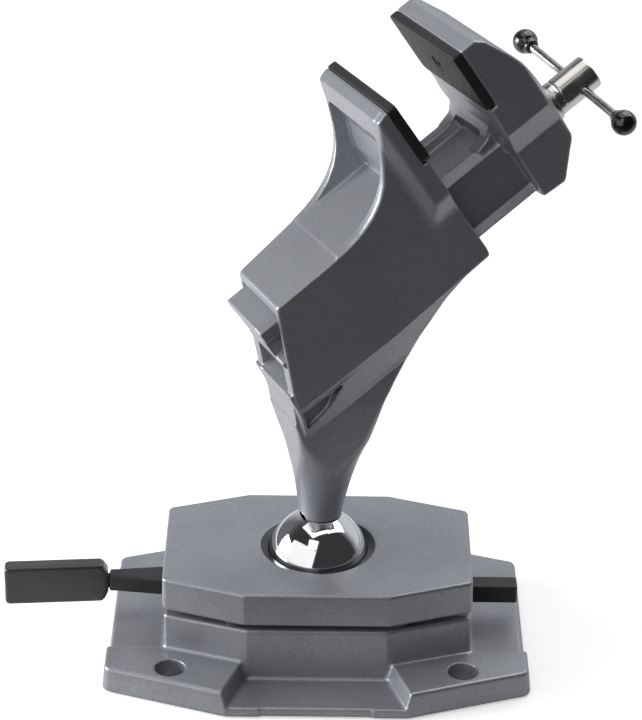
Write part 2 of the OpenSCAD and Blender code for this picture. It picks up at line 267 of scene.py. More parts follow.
def surface(field, low, high, step):
    """Closed quad mesh of field = 0: surface nets, then relaxed onto the surface."""
    low, high = np.array(low, float), np.array(high, float)
    counts = [int(math.ceil((high[i] - low[i]) / step)) + 1 for i in range(3)]
    x, y, z = [low[i] + step * np.arange(counts[i]) for i in range(3)]
    values = field(x[:, None, None], y[None, :, None], z[None, None, :])
    values = np.broadcast_to(values, counts).astype(np.float32)
    inside = values < 0
    cells, places = crossed_cells(values, inside)
    quads = crossing_quads(inside, cells)
    edges = np.concatenate([quads[:, [i, (i + 1) % 4]] for i in range(4)])
    starts, ends = edges.T
    points = pull(field, low + places * step, step, 2)
    for _ in range(2):
        total, count = np.zeros_like(points), np.bincount(edges.ravel(), minlength=len(points))
        for k in range(3):
            total[:, k] = (np.bincount(starts, points[ends, k], len(points))
                           + np.bincount(ends, points[starts, k], len(points)))
        points = pull(field, points + 0.5 * (total / count[:, None] - points), step, 1)
    points = pull(field, points, step, 1)
    normals = gradient(field, points)
    normals /= np.maximum(np.linalg.norm(normals, axis=1), 1e-9)[:, None]
    return points, quads, normals


def add_piece(name, body, frame, points, faces, normals, material, node):
    """Object from points in a frame; faces are an array of quads or a list of tuples."""
    turn, origin = frame
    mesh = bpy.data.meshes.new(name)
    points = (points @ turn.T + origin) / 1000.0
    if isinstance(faces, np.ndarray):
        mesh.vertices.add(len(points))
        mesh.vertices.foreach_set("co", points.astype(np.float32).ravel())
        mesh.loops.add(faces.size)
        mesh.loops.foreach_set("vertex_index", faces.astype(np.int32).ravel())
        mesh.polygons.add(len(faces))
        mesh.polygons.foreach_set("loop_start", (np.arange(len(faces)) * 4).astype(np.int32))
        mesh.update(calc_edges=True)
    else:
        mesh.from_pydata([tuple(point) for point in points], [], faces)
    mesh.validate()
    mesh.polygons.foreach_set("use_smooth", np.ones(len(mesh.polygons), bool))
    if normals is not None:
        mesh.normals_split_custom_set_from_vertices([tuple(n) for n in normals @ turn.T])
    piece = bpy.data.objects.new(name, mesh)
    bpy.context.scene.collection.objects.link(piece)
    mesh.materials.append(material)
    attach(piece, body)
    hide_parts(node)


def carve(name, body, frame, field, low, high, step, material, node):
    """Piece meshed from its field inside the box low to high."""
    points, quads, normals = surface(field, low, high, step)
    add_piece(name, body, frame, points, quads, normals, material, node)


def lathe(name, body, frame, profile, segments, material, node):
    """Closed solid turned round z; profile is (radius, z) from axis to axis."""
    points, faces, rings = [], [], []
    for radius, z in profile:
        count = 1 if radius < 1e-6 else segments
        rings.append(list(range(len(points), len(points) + count)))
        for i in range(count):
            angle = 2 * math.pi * i / segments
            points.append((radius * math.cos(angle), radius * math.sin(angle), z))
    for a, b in zip(rings[:-1], rings[1:]):
        for i in range(segments):
            j = (i + 1) % segments
            if len(a) == 1:
                faces.append((a[0], b[j], b[i]))
            elif len(b) == 1:
                faces.append((a[i], a[j], b[0]))
            else:
                faces.append((a[i], a[j], b[j], b[i]))
    add_piece(name, body, frame, np.array(points), faces, None, material, node)


# ------------------------------------------------------------------ shader nodes
class Nodes:
    """Builds nodes in a tree; an input is given as a value or as the socket that feeds it."""

    def __init__(self, owner):
        owner.use_nodes = True
        self.tree = owner.node_tree
        self.tree.nodes.clear()

    def feed(self, node, inputs):
        for key, value in inputs.items():
            if isinstance(value, bpy.types.NodeSocket):
                self.tree.links.new(value, node.inputs[key])
            else:
                node.inputs[key].default_value = value

    def node(self, kind, inputs=None, **settings):
        node = self.tree.nodes.new("ShaderNode" + kind)
        for key, value in settings.items():
            setattr(node, key, value)
        self.feed(node, inputs or {})
        return node

    def math(self, operation, a, b):
        return self.node("Math", {0: a, 1: b}, operation=operation).outputs["Value"]

    def map_range(self, value, source, target=(0.0, 1.0), kind="LINEAR"):
        inputs = {"Value": value, "From Min": source[0], "From Max": source[1],
                  "To Min": target[0], "To Max": target[1]}
        return self.node("MapRange", inputs, interpolation_type=kind).outputs["Result"]


# Socket places in a Mix node
MIX_FACTOR, VECTOR_A, VECTOR_B, COLOUR_A, COLOUR_B = 0, 4, 5, 6, 7
VECTOR_RESULT, COLOUR_RESULT = 1, 2


class Shader(Nodes):
    """Principled material; the texture helpers return their output socket."""

    def __init__(self, name):
        self.material = bpy.data.materials.new(name)
        super().__init__(self.material)
        output = self.node("OutputMaterial")
        self.principled = self.node("BsdfPrincipled")
        self.feed(output, {"Surface": self.principled.outputs["BSDF"]})
        self.place = self.node("TexCoord").outputs["Object"]

    def finish(self, **inputs):
        """Feed the Principled inputs, named with underscores for spaces."""
        self.feed(self.principled, {key.replace("_", " "): inputs[key] for key in inputs})
        return self.material

    def mapping(self, scale=(1, 1, 1), turn=(0, 0, 0)):
        inputs = {"Vector": self.place, "Rotation": turn, "Scale": scale}
        return self.node("Mapping", inputs).outputs["Vector"]

    def noise(self, scale, detail, roughness, vector=None, output="Fac"):
        inputs = {"Vector": vector or self.mapping(), "Scale": scale, "Detail": detail,
                  "Roughness": roughness}
        return self.node("TexNoise", inputs).outputs[output]

    def ramp(self, value, *stops):
        """Colour ramp with stops (position, colour or grey)."""
        node = self.node("ValToRGB", {"Fac": value})
        elements = node.color_ramp.elements
        while len(elements) < len(stops):
            elements.new(0.5)
        for element, (position, colour) in zip(elements, stops):
            element.position = position
            element.color = colour if isinstance(colour, tuple) else (colour,) * 3 + (1,)
        return node.outputs["Color"]

    def mix(self, factor, a, b, blend="MIX"):
        inputs = {MIX_FACTOR: factor, COLOUR_A: a, COLOUR_B: b}
        node = self.node("Mix", inputs, data_type="RGBA", blend_type=blend)
        return node.outputs[COLOUR_RESULT]

    def edge_wear(self, radius, full, none):
        """1 where the bevelled and true normals part, between the dot products full and none."""
        bevel = self.node("Bevel", {"Radius": radius}, samples=4).outputs["Normal"]
        normal = self.node("NewGeometry").outputs["Normal"]
        dot = self.node("VectorMath", {0: bevel, 1: normal}, operation="DOT_PRODUCT")
        return self.map_range(dot.outputs["Value"], source=(none, full))

    def bump(self, height, distance, strength, normal=None):
        inputs = {"Height": height, "Distance": distance, "Strength": strength}
        if normal:
            inputs["Normal"] = normal
        return self.node("Bump", inputs).outputs["Normal"]


# ------------------------------------------------------------------ materials
def linear(hex_code):
    values = [int(hex_code[i:i + 2], 16) / 255 for i in (0, 2, 4)]
    return tuple(v / 12.92 if v <= 0.04045 else ((v + 0.055) / 1.055) ** 2.4
                 for v in values) + (1.0,)


def tint(colour, factor):
    return tuple(v * factor for v in colour) + (1,)


ENAMEL, ENAMEL_DARK, ENAMEL_LIGHT = linear("a0a2a8"), linear("969a9f"), linear("a9abb1")
ENAMEL_WORN = (ENAMEL_LIGHT[0] * 1.9, ENAMEL_LIGHT[1] * 1.9, ENAMEL_LIGHT[2] * 1.95, 1)
# dark colour laid on the cover in a ring round the ball socket
DARK_RING_COLOUR = (0.035, 0.036, 0.04, 1)
BLACK_WORN = (0.16, 0.16, 0.17, 1)


def enamel(name, dark_radius=None):
    """Hammertone enamel: dimpled cells, fine flake, slight casting waviness.

    Within dark_radius (m) of the z axis the colour is made dark.
    """
    shader = Shader(name)
    swirl = shader.noise(scale=420, detail=2, roughness=0.6, output="Color")
    warped = shader.node(
        "Mix", {MIX_FACTOR: 0.0016, VECTOR_A: shader.mapping(), VECTOR_B: swirl},
        data_type="VECTOR").outputs[VECTOR_RESULT]
    cells = shader.node(
        "TexVoronoi", {"Vector": warped, "Scale": 1350.0, "Smoothness": 0.9, "Randomness": 1.0},
        feature="SMOOTH_F1").outputs["Distance"]
    fine = shader.noise(scale=2600, detail=2, roughness=0.6)
    broad = shader.noise(scale=38, detail=4, roughness=0.6)
    colour = shader.ramp(cells, (0.05, ENAMEL_LIGHT), (0.45, ENAMEL), (0.85, ENAMEL_DARK))
    clouds = shader.ramp(broad, (0.3, (0.92, 0.92, 0.93, 1)), (0.7, (1.06, 1.06, 1.05, 1)))
    colour = shader.mix(1.0, colour, clouds, "MULTIPLY")
    flakes = shader.ramp(fine, (0.35, 0.95), (0.7, 1.06))
    colour = shader.mix(1.0, colour, flakes, "MULTIPLY")
    edges = shader.edge_wear(radius=0.0007, full=0.90, none=0.985)
    spots = shader.noise(scale=300, detail=4, roughness=0.7)
    wear = shader.math("MULTIPLY", edges, shader.ramp(spots, (0.40, 0.0), (0.62, 1.0)))
    colour = shader.mix(shader.math("MULTIPLY", wear, 0.55), colour, ENAMEL_WORN)
    # colour made dark in a ring round the z axis, the ring round the ball socket
    if dark_radius:
        flat = shader.node("VectorMath", {0: shader.place, 1: (1, 1, 0)}, operation="MULTIPLY")
        length = shader.node("VectorMath", {0: flat.outputs["Vector"]}, operation="LENGTH")
        blur = 0.00012
        ring = shader.map_range(length.outputs["Value"],
                                source=(dark_radius + blur, dark_radius - blur))
        colour = shader.mix(ring, colour, DARK_RING_COLOUR)
    roughness = shader.ramp(cells, (0.0, 0.34), (0.9, 0.44))
    normal = shader.bump(broad, distance=0.0006, strength=0.25)
    normal = shader.bump(cells, distance=0.00010, strength=0.32, normal=normal)
    normal = shader.bump(fine, distance=0.00003, strength=0.16, normal=normal)
    return shader.finish(Base_Color=colour, Roughness=roughness, Metallic=0.6,
                         Coat_Weight=0.2, Coat_Roughness=0.22, Normal=normal)


def satin_black(name, colour, roughness, bump, coat=0.0, scale=1500, specular=0.5):
    """Dark coating with paler worn edges; scale is that of its fine grain."""
    shader = Shader(name)
    grain = shader.noise(scale=scale, detail=3, roughness=0.6)
    broad = shader.noise(scale=60, detail=4, roughness=0.6)
    clouds = shader.ramp(broad, (0.3, tint(colour, 0.8)), (0.72, tint(colour, 1.35)))
    edges = shader.edge_wear(radius=0.0005, full=0.88, none=0.985)
    worn = shader.mix(shader.math("MULTIPLY", edges, 0.35), clouds, BLACK_WORN)
    gloss = shader.ramp(grain, (0.3, roughness - 0.06), (0.7, roughness + 0.08))
    normal = shader.bump(broad, distance=0.0005, strength=0.2)
    normal = shader.bump(grain, distance=0.00008, strength=bump, normal=normal)
    return shader.finish(Base_Color=worn, Roughness=gloss, Coat_Weight=coat,
                         Coat_Roughness=0.12, Specular_IOR_Level=specular, Normal=normal)


def turned(name, colour, roughness, axis):
    """Machined metal: smudges, and fine rings across the turning axis."""
    shader = Shader(name)
    turn = Vector(tuple(axis)).normalized().rotation_difference(Vector((0, 0, 1)))
    stretched = shader.mapping(scale=(0.02, 0.02, 1.0), turn=turn.to_euler())
    rings = shader.noise(scale=6500.0, detail=2, roughness=0.5, vector=stretched)
    smudge = shader.noise(scale=130, detail=4, roughness=0.65)
    colour = shader.ramp(smudge, (0.3, tint(colour, 0.86)), (0.7, tint(colour, 1.06)))
    gloss = shader.ramp(smudge, (0.3, roughness - 0.05), (0.7, roughness + 0.07))
    normal = shader.bump(rings, distance=0.00003, strength=0.35)
    return shader.finish(Base_Color=colour, Roughness=gloss, Metallic=1.0, Normal=normal)


def chrome(name):
    """Polished metal with smudges and hairlines."""
    shader = Shader(name)
    smudge = shader.noise(scale=90, detail=5, roughness=0.65)
    hairlines = shader.noise(scale=1800, detail=2, roughness=0.5,
                             vector=shader.mapping(scale=(1, 0.06, 0.3)))
    colour = shader.ramp(smudge, (0.3, (0.80, 0.81, 0.83, 1)), (0.7, (0.90, 0.91, 0.92, 1)))
    gloss = shader.ramp(smudge, (0.35, 0.035), (0.75, 0.09))
    normal = shader.bump(hairlines, distance=0.00001, strength=0.12)
    return shader.finish(Base_Color=colour, Roughness=gloss, Metallic=1.0, Normal=normal)


HEAD_X_AXIS = HEAD_TURN[:, 0]
STEEL_COLOUR = (0.60, 0.61, 0.63)
PAINT = enamel("gray_hammertone_enamel")
COVER_PAINT = enamel("gray_enamel_cover", dark_radius=0.0184)
BLACK = satin_black("black_enamel", (0.02, 0.02, 0.023), roughness=0.36, bump=0.25)
VINYL = satin_black("black_vinyl_grip", (0.030, 0.030, 0.034), roughness=0.24, bump=0.015,
                    coat=0.4)
RUBBER = satin_black("pad_rubber", (0.011, 0.011, 0.012), roughness=0.55, bump=0.25,
                     scale=2600)
GLOSS_BLACK = satin_black("black_gloss_knob", (0.006, 0.006, 0.007), roughness=0.12,
                          bump=0.03, coat=0.8)
CHROME = chrome("polished_chrome")
NICKEL = turned("nickel_turned", (0.72, 0.70, 0.67), roughness=0.2, axis=HEAD_X_AXIS)
NICKEL_BAR = turned("nickel_bar", (0.66, 0.65, 0.64), roughness=0.18, axis=TOMMY[0][:, 2])
STEEL = turned("steel_turned", STEEL_COLOUR, roughness=0.28, axis=(0, 0, 1))
HEAD_STEEL = turned("steel_turned_head", STEEL_COLOUR, roughness=0.28, axis=HEAD_X_AXIS)
BRONZE = turned("bronze_turned", (0.55, 0.40, 0.22), roughness=0.3, axis=(0, 0, 1))
OXIDE = satin_black("black_oxide_screw", (0.03, 0.03, 0.032), roughness=0.4, bump=0.2)
PAD_OXIDE = satin_black("pad_screw_oxide", (0.008, 0.008, 0.009), roughness=0.5, bump=0.2,
                        specular=0.25)

# ------------------------------------------------------------------ base casting and cover
WING_TOP, LUG_TOP, BLOCK_TOP = 7.7, 8.5, 20.6
COVER_BOTTOM, COVER_TOP = 22.6, 33.8
SILL_TOP = 3.1
SCREW_X, SCREW_Y = 25, 25.5         # cover screws, mirrored in x and y
MOUNT_X, MOUNT_Y, MOUNT_RADIUS = 46, -34.5, 4.75
SOCKET_RADIUS = 16.08
CONE_BOTTOM = 32.6

# Outlines hold (u, v, corner radius); here u, v are x, y
FLANGE = octagon((66.3, 35.1, 3), (28.3, 48.7, 3))
BLOCK = octagon((48.5, 22.7, 1.6), (21.9, 31.6, 1.6))
COVER = octagon((49, 22.9, 2.2), (22.9, 32.2, 1.6))
LUG = rounded([(67.0, -21.5, 1), (67.0, -35.0, 3), (28.6, -48.75, 2),
               (18.0, -48.75, 0), (18.0, -22.0, 0), (48.0, -21.5, 0)])


def cover_screw_distance(x, y):
    return rod(np.abs(x) - SCREW_X, np.abs(y) - SCREW_Y, 0)


def base_field(x, y, z):
    abs_x = np.abs(x)
    # wings and blocks taper upwards
    wing = intersect(prism(x, y, FLANGE) + 0.14 * (z - 3.0), slab(z, 0, WING_TOP), 1.3)
    # lugs stand proud of the wings at the front corners
    lug = intersect(prism(abs_x, y, LUG) + 0.10 * (z - 6.0), slab(z, 0, LUG_TOP), 1.1)
    body = join(wing, lug, 0.6)
    # front recess with sloping ends and a thin sill
    recess_end = 21.5 + (-29.8 - y) * 0.34 + (z - SILL_TOP) * 0.32
    recess = intersect((abs_x - recess_end) * 0.93, y + 29.0, 0.8)
    body = cut(body, intersect(recess, SILL_TOP - z, 0.9), 0.7)
    block = intersect(prism(x, y, BLOCK) + 0.02 * (z - 20), slab(z, 0, BLOCK_TOP), 1.0)
    body = join(body, block, 1.3)
    # bore for the clamp, a deeper one inside it, and windows at both sides
    body = cut(body, cylinder(x, y, z, 25, (13.6, 60)), 0.5)
    body = cut(body, cylinder(x, y, z, 14, (8, 60), 0.6), 0.4)
    body = cut(body, box(abs_x, y, z, (12, 90), (-20.5, 20.5), (14.2, 60), 1.0), 0.7)
    # cored underside
    body = cut(body, box(abs_x, y, z, (29.5, 43.5), (-17, 17), (-9, 9.5), 1.2), 0.6)
    # mounting holes, then screw holes widened from below
    body = cut(body, rod(abs_x - MOUNT_X, y - MOUNT_Y, MOUNT_RADIUS), 0.45)
    screw = cover_screw_distance(x, y)
    body = cut(body, screw - 2.6)
    return cut(body, intersect(screw - 4.6, z - 6.0), 0.3)


def cover_field(x, y, z):
    body = intersect(prism(x, y, COVER) + 0.012 * (z - COVER_BOTTOM),
                     slab(z, COVER_BOTTOM, COVER_TOP), 1.0)
    radius = rod(x, y, 0)
    # ball socket, open straight down and flared at the top
    body = cut(body, rod(radius, z - BALL_Z, SOCKET_RADIUS), 0.25)
    body = cut(body, intersect(radius - SOCKET_RADIUS, z - BALL_Z), 0.25)
    flare = (radius - (15.8 + (z - CONE_BOTTOM) * 2.33)) * 0.39
    body = cut(body, intersect(flare, CONE_BOTTOM - z), 0.3)
    return cut(body, intersect(cover_screw_distance(x, y) - 2.5, z - 30.1))


carve("base_body", "base", WORLD, base_field, low=(-69, -51, -1.5), high=(69, 51, 22.5),
      step=0.62, material=PAINT, node="base_casting")
carve("cover_body", "base", WORLD, cover_field, low=(-51, -34.5, 22.4),
      high=(51, 34.5, 35.2), step=0.5, material=COVER_PAINT, node="cover_plate")

# ------------------------------------------------------------------ clamp ring and lever
RING_SPAN = (14.45, 20.55)
LEVER_PINS_X, LEVER_PIN_RADIUS = (-34, -27.5), 1.5
GRIP_MID_Z, GRIP_END_X = 19.75, -34.7

LEVER_PLAN = rounded([  # x, y
    (-23.2, -4.4, 0.5), (-51, -4.3, 6), (-64, -2.6, 3), (-67, -2.4, 0.3),
    (-67, 2.4, 0.3), (-64, 2.6, 3), (-51, 4.3, 6), (-23.2, 4.4, 0.5)])
GRIP_SIDE = rounded([  # x, z in the grip frame
    (-2.8, 25.7, 1.5), (-1.5, 23.7, 0.5), (-1.5, 16.6, 0.5), (-2.8, 13.8, 1.2),
    (-3.8, 13.0, 1.2), (GRIP_END_X, 13.0, 1.6), (GRIP_END_X, 26.5, 1.6), (-3.8, 26.5, 1.4)])


def ring_field(x, y, z):
    body = cylinder(x, y, z, 23.8, RING_SPAN, 0.4)
    # tab to the lever at -x, bar at +x
    body = join(body, box(x, y, z, (-37, -19), (-7.5, 7.5), RING_SPAN, 0.6), 0.5)
    body = join(body, box(x, y, z, (18, 64.3), (-3.4, 3.4), RING_SPAN, 0.7), 0.6)
    body = cut(body, rod(x, y, 15.8), 0.3)
    # seat for the lever, with its pin holes
    body = cut(body, box(x, y, z, (-50, -23.05), (-4.5, 4.5), (16.6, 30)), 0.2)
    for pin_x in LEVER_PINS_X:
        body = cut(body, rod(x - pin_x, y, LEVER_PIN_RADIUS))
    # three low pads on top
    for degrees in (30, 150, 270):
        out, side = turned_axes(x, y, degrees)
        pad = box(out, side, z, (16.6, 20.4), (-1.9, 1.9), (19, 20.86), 0.2)
        body = join(body, pad, 0.2)
    return body


def lever_field(x, y, z):
    body = intersect(prism(x, y, LEVER_PLAN), slab(z, 16.65, 22.35), 0.7)
    # thin tongue inside the grip
    along, side = turned_axes(x - LEVER_BEND_X, y, LEVER_BEND)
    tongue = box(along, side, z, (-25.5, 0.5), (-1.55, 1.55), (17.45, 21.35), 0.3)
    body = join(body, tongue, 0.2)
    for pin_x in LEVER_PINS_X:
        body = cut(body, rod(x - pin_x, y, LEVER_PIN_RADIUS), 0.15)
    return body


def grip_field(x, y, z):
    half_width = 2.9 - 0.1 * np.clip((z - GRIP_MID_Z) / 7, -1, 1) ** 2
    body = intersect(prism(x, z, GRIP_SIDE), np.abs(y) - half_width, 1.05)
    # moulding seam across the outer end, then the slot for the tongue
    body = body + 0.12 * groove(z, GRIP_MID_Z, 0.28) * (np.abs(x - GRIP_END_X) < 1.2)
    return cut(body, box(x, y, z, (-25.9, 9), (-1.6, 1.6), (17.4, 21.4)), 0.1)


carve("clamp_ring", "lever", WORLD, ring_field, low=(-39, -25.5, 13.2), high=(66, 25.5, 22.2),
      step=0.45, material=BLACK, node="cam_ring")
carve("lever_arm", "lever", WORLD, lever_field, low=(-94, -6.5, 15.2), high=(-21.5, 6.5, 24),
      step=0.35, material=BLACK, node="lever_bar")
carve("lever_sleeve", "lever", GRIP, grip_field, low=(-36.4, -4.4, 11.5),
      high=(0.4, 4.4, 28.1), step=0.3, material=VINYL, node="lever_grip")

# ------------------------------------------------------------------ ball
STEM_BORE = 4.05  # radius


def ball_field(x, y, z):
    ball = np.sqrt(x * x + y * y + z * z) - 16.0
    return cut(ball, intersect(rod(x, y, STEM_BORE), -2 - z), 0.3)


carve("ball_chrome", "ball_tilt", STEM, ball_field, low=(-17, -17, -17), high=(17, 17, 17),
      step=0.4, material=CHROME, node="ball")

# ------------------------------------------------------------------ head casting
PAD_SCREW_Z, PAD_SCREW_BORE = 110, 1.5  # height over the ball centre, radius

HEAD_SIDE = rounded([  # x, z
    (22.2, 54.4, 1.0), (60, 55.4, 20), (98.2, 58.6, 1.0), (98.7, 61, 0.5), (98.7, 99.2, 0.5),
    (97.1, 99.2, 0.3), (97.1, 121.2, 0.8), (92.7, 119.7, 1.2), (90.3, 113, 20),
    (87.4, 106.2, 20), (84.4, 101.1, 16), (80.5, 97.2, 16), (75.8, 94.1, 20), (70.4, 92.0, 20),
    (64.5, 90.7, 20), (57, 90, 20), (36.2, 88.9, 1.6), (30.8, 76.6, 0), (24, 60.6, 0)])
FIXED_JAW_FRONT = rounded([  # |y|, z
    (-8, 72, 0), (19.4, 72, 0), (21.4, 78.5, 3), (25, 86.4, 2.0), (25, 124, 0), (-8, 124, 0)])
FIXED_JAW_PLAN = rounded([  # x, |y|
    (60, -8, 0), (60, 18.6, 0), (88, 20.6, 2), (93.4, 25, 2.0), (101, 25, 0), (101, -8, 0)])
SKIRT_SIDE = rounded([  # x, z
    (19.6, 44.0, 1), (60.5, 44.0, 4), (70.0, 50.0, 6), (79.3, 53.6, 6),
    (98.2, 58.6, 0), (96, 61, 0), (22.8, 61, 0), (22.2, 54.4, 0)])
SKIRT_FRONT = rounded([  # |y|, z
    (-8, 40, 0), (12.1, 40, 0), (12.6, 44.6, 3), (18.3, 56.5, 0), (21.8, 63.5, 0),
    (21.8, 66, 0), (-8, 66, 0)])
SKIRT_HOLLOW = rounded([  # x, z
    (21.6, 46.6, 0.5), (30.5, 48.0, 3), (38.5, 52.8, 0.6), (37.5, 53.4, 0.4), (23.2, 53.4, 0.5)])
STEM_CONE = rounded([  # radius, along the stem
    (-9, 10, 0), (6.9, 10, 0), (7.1, 17.5, 8), (7.9, 22, 16), (9.15, 28, 20), (10.1, 31, 20),
    (11.7, 35.5, 20), (13.6, 39.7, 20), (15.4, 43, 20), (18.4, 51, 20), (21.5, 59, 20),
    (27, 66, 16), (36, 74, 0), (76, 110, 0), (-9, 110, 0)])
STEM_SIDE = rounded([  # across, along the stem
    (-10.5, 8, 0), (-10.5, 30, 8), (-12, 39, 20), (-14.9, 47, 20), (-18.3, 55.6, 20),
    (-22, 64, 0), (-24.6, 72, 0), (-27, 76.3, 0), (-27, 110, 0), (45, 110, 0), (30.2, 90, 20),
    (22.9, 78.4, 20), (18.9, 70.6, 20), (15.6, 63, 20), (12.9, 55, 16), (12.2, 47, 16),
    (11.6, 40, 16), (10.6, 28, 0), (10.6, 8, 0)])
STEM_FRONT = rounded([  # |y|, along the stem
    (-9, 8, 0), (10.5, 8, 0), (10.5, 30, 6), (10.8, 34, 8), (11.5, 43, 10), (12.3, 56, 10),
    (13, 110, 0), (-9, 110, 0)])
STEM_LIMIT = rounded([  # x, z
    (-20, -10, 0), (120, -10, 0), (98.4, 60, 0), (24.1, 60.5, 0), (22.2, 55.6, 3),
    (19.7, 50, 0), (-20, 50, 0)])
FRONT_BAY = rounded([  # |y|, z
    (-9, 86.15, 0), (16.55, 86.15, 0.8), (16.55, 67.1, 0.5), (18.75, 64.6, 0.3),
    (18.75, 63.85, 0), (-9, 63.85, 0)])
JAW_POCKET = rounded([  # |y|, z
    (-9, 90.7, 0), (15.6, 90.7, 1.5), (20.6, 113.8, 2.0), (-9, 113.8, 0)])


def stem_field(x, y, z, along, across):
    # the cone's axis drifts further off the stem's as it rises
    cone_across = across + 0.7 + 0.1 * (rod(along - 28, 3, 0) + along - 28) / 2
    stem = intersect(prism(rod(cone_across, y, 0), along, STEM_CONE),
                     prism(across, along, STEM_SIDE), 1.0)
    stem = intersect(stem, prism(np.abs(y), along, STEM_FRONT), 0.7)
    return intersect(stem, prism(x, z, STEM_LIMIT))


def head_field(x, y, z):
    abs_y = np.abs(y)
    side = prism(x, z, HEAD_SIDE)
    flank = (abs_y - (14.45 + 0.0769 * x)) / 1.003  # side walls widen towards the jaw
    body = intersect(side, intersect(flank, 54 - z), 0.9)
    jaw = intersect(side, prism(abs_y, z, FIXED_JAW_FRONT), 0.8)
    body = join(body, intersect(jaw, prism(x, abs_y, FIXED_JAW_PLAN), 0.8), 0.8)
    # skirt under the body, hollowed at both sides
    skirt = intersect(prism(x, z, SKIRT_SIDE), prism(abs_y, z, SKIRT_FRONT), 0.5)
    skirt = intersect(skirt, flank + 0.5, 0.3)
    skirt = cut(skirt, intersect(prism(x, z, SKIRT_HOLLOW), 11.6 - abs_y, 0.3), 0.3)
    body = join(body, skirt, 0.4)
    along, across = turned_axes(z, x, STEM_TILT)
    body = join(body, stem_field(x, y, z, along, across), 0.7)
    # ball seat, stem bore and a cross hole into it
    body = cut(body, np.sqrt(x * x + y * y + z * z) - 16.06, 0.15)
    body = cut(body, intersect(rod(across, y, STEM_BORE), along - 40.2))
    body = cut(body, intersect(rod(along - 30, y, 2.52), -across), 0.3)
    # slide guide, lower bay, wide front bay, notch behind the pad
    body = cut(body, box(x, y, z, (0, 76), (-15.35, 15.35), (68.9, 86.1), 0.4), 0.6)
    body = cut(body, box(x, y, z, (0, 62), (-11, 11), (60.4, 70.4), 1.0), 0.6)
    body = cut(body, intersect(prism(abs_y, z, FRONT_BAY), 73.9 - x, 0.4), 0.5)
    body = cut(body, box(x, y, z, (92.8, 110), (-16.6, 16.6), (80, 99.2), 0.6), 0.3)
    # hollow back of the jaw
    wall = 88.8 + np.clip((z - 98.0) * 0.4, 0, 3.2)
    pocket = intersect(prism(abs_y, z, JAW_POCKET), 50 - x, 0.3)
    body = cut(body, intersect(pocket, (x - wall) * 0.9, 0.9), 0.45)
    # slot in the floor crossed by a pin hole, then the pad screw hole
    body = cut(body, box(x, y, z, (79.95, 92.05), (-6.3, 6.3), (59.95, 66)), 0.1)
    body = cut(body, intersect(rod(x - 86, z - 61.9, 1.52), -8 - y), 0.1)
    return cut(body, intersect(rod(y, z - PAD_SCREW_Z, PAD_SCREW_BORE), 91.5 - x))


carve("head_body", "head", HEAD, head_field, low=(4, -26.5, 8), high=(100.5, 26.5, 123),
      step=0.6, material=PAINT, node="head_casting")

# ------------------------------------------------------------------ moving jaw and slide
MOVING_JAW_SIDE = rounded([  # x, z
    (122.3, 61.6, 0.8), (131, 61, 2), (138.2, 69.4, 3), (141.5, 73, 5), (143.6, 77, 5),
    (144, 80.5, 6), (144, 86, 20), (143, 92.4, 30), (140.9, 100.4, 30), (137.4, 110, 30),
    (133.2, 118.8, 2), (130.6, 121.3, 1.6), (125.15, 121.3, 0.6), (125.15, 99.4, 0.2),
    (122.6, 99.4, 0.3), (122.6, 94.2, 3.0), (121.4, 90.2, 4), (118.6, 87.2, 3), (114, 86, 0),
    (114, 80, 0), (122.3, 80, 0)])
MOVING_JAW_FRONT = rounded([  # |y|, z
    (-9, 58, 0), (20.3, 58, 0), (20.6, 80, 3), (25, 88.8, 2), (25, 124, 0), (-9, 124, 0)])
MOVING_JAW_PLAN = rounded([  # x, |y|
    (112, -9, 0), (112, 15.2, 0), (120.9, 15.2, 1.5), (122.5, 20, 1), (122.5, 30, 0),
    (138.6, 30, 0), (139.2, 25, 3), (141.8, 15, 10), (144, 6.5, 10), (144, -9, 0)])
SLIDE_INNER = rounded([  # |y|, z of the part in the guide
    (-9, 86, 0), (12.6, 86, 0.5), (15.2, 84.3, 0.4), (15.2, 80.5, 0.4), (10.4, 79.6, 0.6),
    (10.4, 72.4, 0.6), (15.2, 71.6, 0.4), (15.2, 69.05, 0.4), (-9, 69.05, 0)])
SLIDE_OUTER = rounded([  # |y|, z of the part next to the jaw
    (-9, 86, 0), (13.8, 86, 0.6), (16.4, 83.3, 0.6), (16.4, 67, 0.4), (18.4, 64.4, 0.3),
    (18.4, 63.95, 0.2), (-9, 63.95, 0)])
SLIDE_CHANNEL = rounded([  # |y|, z
    (-9, 90, 0), (10.6, 90, 0), (9.6, 86, 0), (8, 83.3, 1.0), (-9, 83.3, 0)])


def moving_jaw_field(x, y, z):
    abs_y = np.abs(y)
    inner = intersect(prism(abs_y, z, SLIDE_INNER), slab(x, 27.4, 97), 0.5)
    outer = intersect(prism(abs_y, z, SLIDE_OUTER), slab(x, 96, 124), 0.3)
    jaw = intersect(prism(x, z, MOVING_JAW_SIDE), prism(abs_y, z, MOVING_JAW_FRONT), 1.0)
    jaw = intersect(jaw, prism(x, abs_y, MOVING_JAW_PLAN), 1.0)
    body = join(join(inner, outer, 0.3), jaw, 0.8)
    # channel on top, slot below, screw bore and pad screw hole
    channel = intersect(prism(abs_y, z, SLIDE_CHANNEL), slab(x, 62, 119.4), 1.5)
    body = cut(body, channel, 0.4)
    body = cut(body, box(x, y, z, (54, 119), (-6.5, 6.5), (40, 80), 0.6), 0.4)
    body = cut(body, intersect(rod(y, z - SCREW_Z, 4.56), 100 - x), 0.25)
    return cut(body, intersect(rod(y, z - PAD_SCREW_Z, PAD_SCREW_BORE), x - 131))


carve("jaw_body", "jaw", HEAD, moving_jaw_field, low=(26, -26.5, 59), high=(145.5, 26.5, 123),
      step=0.6, material=PAINT, node="moving_jaw")

# ------------------------------------------------------------------ pads
FIXED_PAD_BACK, MOVING_PAD_BACK = 97.12, 125.08  # head x
PAD_THICKNESS = 3
RIB_PITCH = 1.6
PAD_OUTLINE = rounded([  # |y|, z
    (-9, 99.4, 0), (25, 99.4, 2.2), (25, 121.4, 1.6), (-9, 121.4, 0)])


